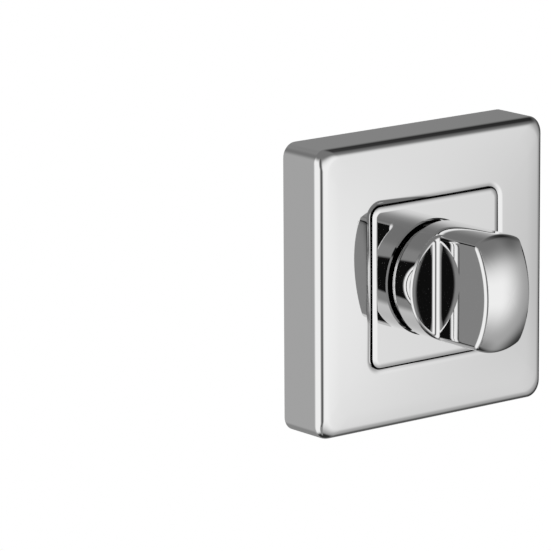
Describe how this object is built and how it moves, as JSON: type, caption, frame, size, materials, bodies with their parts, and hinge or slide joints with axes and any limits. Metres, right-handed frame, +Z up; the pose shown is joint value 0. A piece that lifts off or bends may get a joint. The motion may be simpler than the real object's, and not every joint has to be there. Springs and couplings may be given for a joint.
{
  "type": "bathroom thumb turn lock",
  "caption": "Square chrome rose with a flat-sided thumb turn that works a bathroom lock through a square spindle behind it.",
  "frame": {"origin": "on the turn's axis, in the plane of the door's face", "axes": "+Y into the door along the turn's axis, -Y towards the user, +Z up"},
  "size_m": [0.052, 0.056, 0.052],
  "materials": {
    "polished_chrome": "polished chrome plate on zinc alloy",
    "cast_zinc": "die-cast zinc alloy, matt",
    "spring_steel": "bright spring steel",
    "plated_steel": "zinc-plated steel",
    "dark_steel": "phosphated spring steel",
    "nylon": "moulded natural nylon"
  },
  "bodies": {
    "rose": {"rose_cover": "polished_chrome", "collar_plate": "polished_chrome", "base_plate": "cast_zinc", "cover_strips": "spring_steel", "collar_screws": "plated_steel", "neck_bush": "nylon"},
    "turn": {"thumb_turn": "polished_chrome", "spindle": "plated_steel", "spindle_pin": "plated_steel", "thrust_washer": "plated_steel", "spring_washer": "spring_steel", "retaining_ring": "dark_steel"}
  },
  "joints": [
    {"name": "turn_pivot", "type": "hinge", "parent": "rose", "child": "turn", "pos_m": [0, 0, 0], "axis": [0, 1, 0], "range_deg": [0, 90]}
  ]
}
